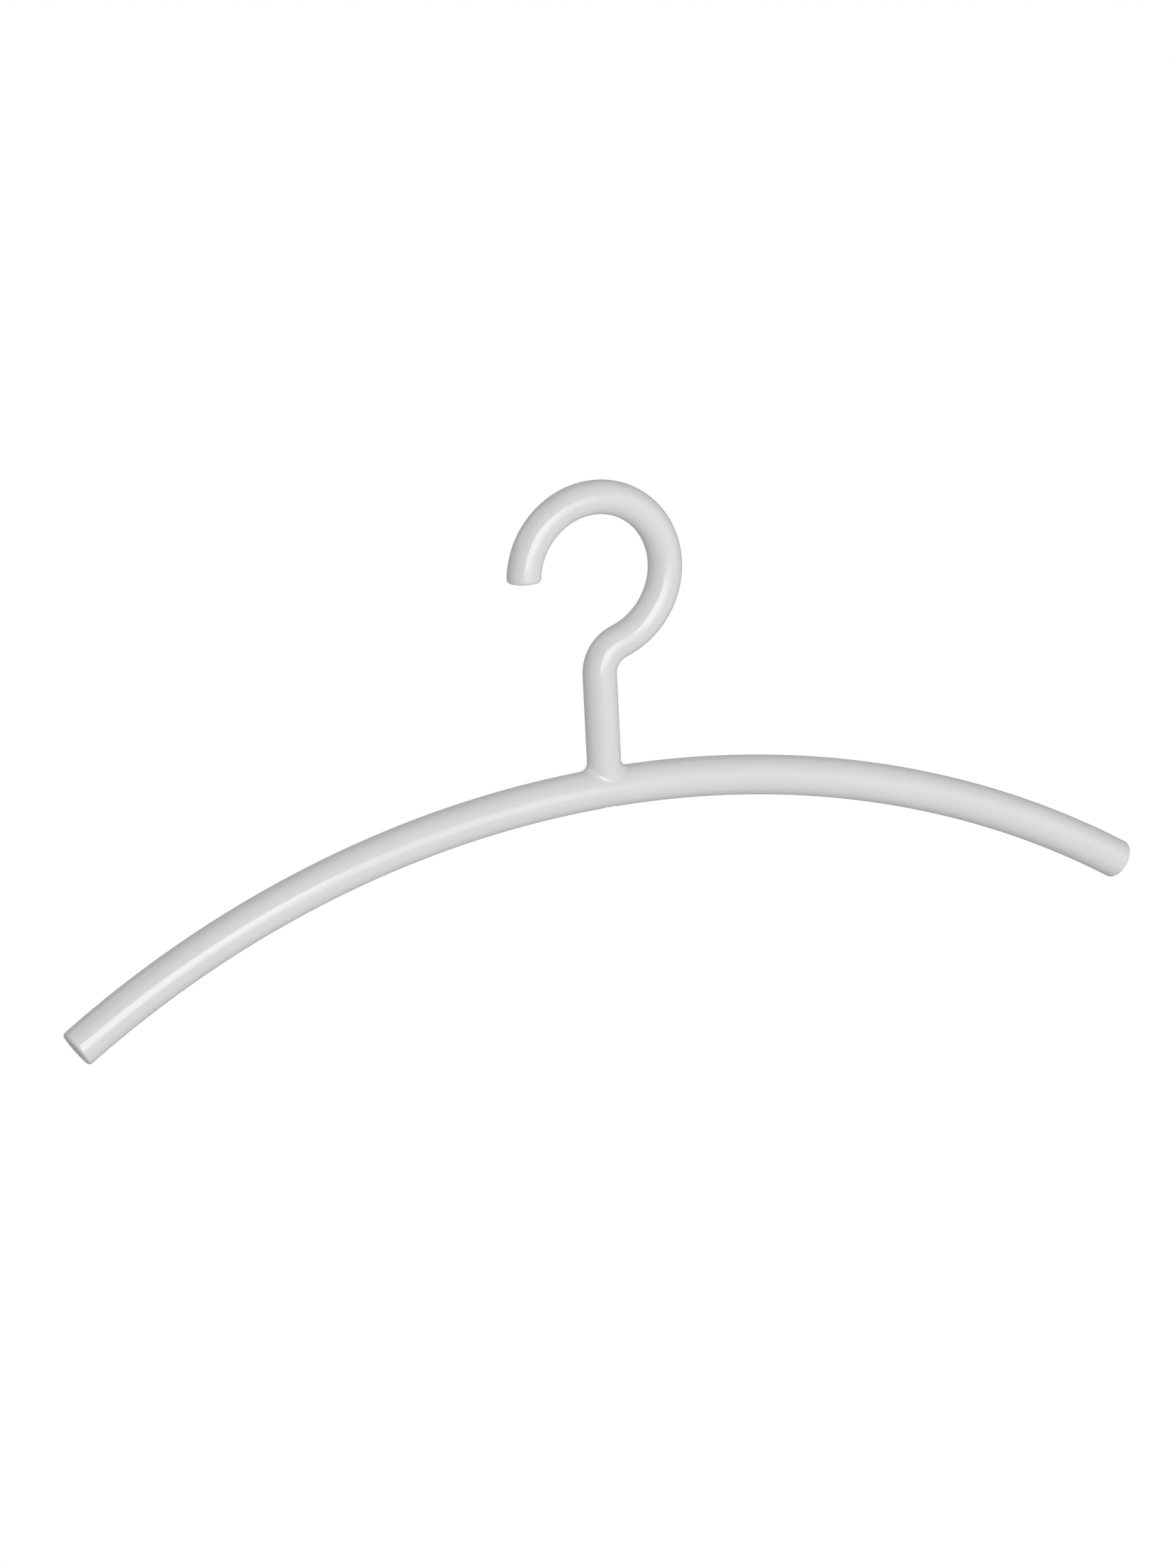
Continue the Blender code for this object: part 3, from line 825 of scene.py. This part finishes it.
def drawn_steel(name, centre_x, centre_z):
    """Bright drawn steel, with die lines that follow an arc about a centre in the hanger's plane."""
    finish = Finish(name, metallic=1.0)
    from_x = finish.math("SUBTRACT", finish.x, centre_x)
    from_z = finish.math("SUBTRACT", finish.z, centre_z)
    arc_radius = finish.distance(from_x, from_z)
    along = finish.math("MULTIPLY", finish.math("ARCTAN2", from_x, from_z), DIE_LINE_DRIFT)
    across = finish.vector(arc_radius, finish.y, along)
    lines = finish.noise(DIE_LINE_WIDTH, detail=4.0, vector=across)
    stains = finish.noise(STAIN_SIZE, detail=4.0)
    mixed = finish.math("MULTIPLY", finish.math("ADD", lines, stains), 0.5)
    finish.colour(mixed, *STEEL_COLOURS)
    finish.roughness(finish.spread(lines, *NOISE_RANGE, *STEEL_ROUGHNESS))
    finish.bump(finish.math("MULTIPLY", lines, DIE_LINE_DEPTH))
    return finish.material


def zinc_plated_steel(name):
    """Zinc-plated screw steel, with fine turned rings about the stem's axis and a faint passivated tint."""
    finish = Finish(name, metallic=1.0)
    out = finish.distance(finish.x, finish.y)
    rings = finish.noise(TURNED_RING_WIDTH, detail=2.0, vector=finish.vector(out, 0.0, finish.z))
    finish.colour(finish.noise(ZINC_FILM_SIZE, detail=3.0), *ZINC_COLOURS)
    finish.roughness(finish.spread(rings, *NOISE_RANGE, *ZINC_ROUGHNESS))
    finish.bump(finish.math("MULTIPLY", rings, TURNED_RING_DEPTH))
    return finish.material


# ---------------------------------------------------------------- stage, light and camera

VIEW_AZIMUTH = radians(-23.794)
VIEW_ELEVATION = radians(15.946)
VIEW_ROLL = radians(-2.877)
VIEW_DISTANCE = 2.6395
VIEW_DEPTH = 100.0
VIEW_TARGET = Vector((-0.006976, 0.0, BAR_AXIS_Z + 0.002571))
SENSOR_SIDE = 36.0
FOCAL_LENGTH = 162.54

FLOOR_DROP = 0.5
FLOOR_SIDE = 40.0
LAMP_DISTANCE = 2.4
SOFTBOX = (1.6, 1.6)
SEEN_WHITE = 1.0
ROOM_GREY = 0.34


def direction_to(azimuth, elevation):
    """Unit vector out from the hanger; azimuth 0 is the front, -Y, and 90 degrees is +X."""
    return Vector((sin(azimuth) * cos(elevation), -cos(azimuth) * cos(elevation), sin(elevation)))


def white_to_camera(tree, level):
    """Shader output that the camera sees as white, while it lights the hanger as a pale grey."""
    seen = tree.nodes.new("ShaderNodeLightPath").outputs["Is Camera Ray"]
    glow = tree.nodes.new("ShaderNodeMapRange")
    tree.links.new(seen, glow.inputs["Value"])
    glow.inputs["To Min"].default_value = level
    glow.inputs["To Max"].default_value = SEEN_WHITE
    return glow.outputs["Result"]


def make_world():
    world = bpy.data.worlds.new("pale_room")
    world.use_nodes = True
    background = world.node_tree.nodes["Background"]
    world.node_tree.links.new(white_to_camera(world.node_tree, ROOM_GREY), background.inputs["Strength"])
    background.inputs["Color"].default_value = (1.0, 1.0, 1.0, 1.0)
    bpy.context.scene.world = world


def make_floor():
    half = 0.5 * FLOOR_SIDE
    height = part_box("shoulder_bar")[0].z - FLOOR_DROP
    bm = bmesh.new()
    corners = ((-half, -half), (half, -half), (half, half), (-half, half))
    bm.faces.new(new_corners(bm, [(x, y, height) for x, y in corners]))
    mesh = bpy.data.meshes.new("floor")
    bm.to_mesh(mesh)
    bm.free()
    floor = bpy.data.objects.new("floor", mesh)
    bpy.context.scene.collection.objects.link(floor)
    material = bpy.data.materials.new("pale_floor")
    material.use_nodes = True
    tree = material.node_tree
    tree.nodes.remove(tree.nodes["Principled BSDF"])
    glow = tree.nodes.new("ShaderNodeEmission")
    tree.links.new(white_to_camera(tree, ROOM_GREY), glow.inputs["Strength"])
    tree.links.new(glow.outputs["Emission"], tree.nodes["Material Output"].inputs["Surface"])
    mesh.materials.append(material)


def make_lamp(name, azimuth, elevation, size, power, mirrored=True):
    """A soft light that faces the hanger; its size is (width, height).

    A lamp that isn't mirrored leaves no highlight, so the one behind puts no bright rim on the front.
    """
    lamp = bpy.data.lights.new(name, "AREA")
    lamp.shape = "RECTANGLE"
    lamp.size, lamp.size_y = size
    lamp.energy = power
    obj = bpy.data.objects.new(name, lamp)
    out = direction_to(radians(azimuth), radians(elevation))
    obj.location = VIEW_TARGET + out * LAMP_DISTANCE
    obj.rotation_mode = "QUATERNION"
    obj.rotation_quaternion = out.to_track_quat("Z", "Y")
    obj.visible_glossy = mirrored
    bpy.context.scene.collection.objects.link(obj)


def make_lamps():
    make_lamp("key", azimuth=5.0, elevation=5.0, size=SOFTBOX, power=15.5)
    make_lamp("side", azimuth=45.0, elevation=5.0, size=SOFTBOX, power=4.5)
    make_lamp("front", azimuth=-7.0, elevation=8.0, size=(1.4, 1.1), power=11.5)

    # The strips draw the long thin highlights along the hook.
    make_lamp("upright_strip", azimuth=-19.5, elevation=8.0, size=(0.24, 1.5), power=4.2)
    make_lamp("level_strip", azimuth=-6.0, elevation=23.0, size=(1.0, 0.2), power=1.6)

    make_lamp("left_back", azimuth=-125.0, elevation=40.0, size=SOFTBOX, power=6.0)
    make_lamp("back", azimuth=165.0, elevation=10.0, size=SOFTBOX, power=20.0, mirrored=False)


def make_camera():
    back = direction_to(VIEW_AZIMUTH, VIEW_ELEVATION)
    level = Vector((cos(VIEW_AZIMUTH), sin(VIEW_AZIMUTH), 0.0))
    upright = back.cross(level)
    right = level * cos(VIEW_ROLL) + upright * sin(VIEW_ROLL)
    up = upright * cos(VIEW_ROLL) - level * sin(VIEW_ROLL)
    camera = bpy.data.cameras.new("camera")
    camera.sensor_width = SENSOR_SIDE
    camera.lens = FOCAL_LENGTH
    camera.clip_end = VIEW_DEPTH
    obj = bpy.data.objects.new("camera", camera)
    turned = Matrix((right, up, back)).transposed().to_4x4()
    obj.matrix_world = Matrix.Translation(VIEW_TARGET + back * VIEW_DISTANCE) @ turned
    bpy.context.scene.collection.objects.link(obj)
    bpy.context.scene.camera = obj


# ---------------------------------------------------------------- the hanger

def place_piece(piece, node, material):
    piece.data.materials.append(material)
    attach(piece, "root")
    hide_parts(node)


def make_hanger():
    nylon = white_nylon("white_nylon", paler=0.0, duller=0.0)
    plug_nylon = white_nylon("plug_nylon", paler=PLUG_PALER, duller=PLUG_DULLER)
    place_piece(make_bar_skin(), "shoulder_bar", nylon)
    place_piece(make_hook_skin(), "hook", nylon)

    tube_steel = drawn_steel("tube_steel", 0.0, BAR_AXIS_Z - BAR_ARC_RADIUS)
    rod_steel = drawn_steel("rod_steel", 0.0, HOOK_RADIUS - LOOP_RADIUS)
    place_piece(make_bar_tube(), "bar_core", tube_steel)
    place_piece(make_hook_rod(), "hook_core", rod_steel)
    place_piece(make_screw(), "hook_screw", zinc_plated_steel("screw_steel"))

    for sense, node in ((-1.0, "left_end_plug"), (1.0, "right_end_plug")):
        place, direction = bar_place(sense * BAR_HALF_ANGLE)
        plug = make_plug(node + "_cap", place, sense * direction, END_PLUG_RADIUS, END_PLUG_LENGTH)
        place_piece(plug, node, plug_nylon)
    place, direction = tip_station()
    plug = make_plug("hook_tip_plug_cap", place, direction, TIP_PLUG_RADIUS, TIP_PLUG_LENGTH)
    place_piece(plug, "hook_tip_plug", plug_nylon)


bpy.context.scene.view_settings.view_transform = "Standard"
make_world()
make_floor()
make_camera()
make_lamps()
make_hanger()
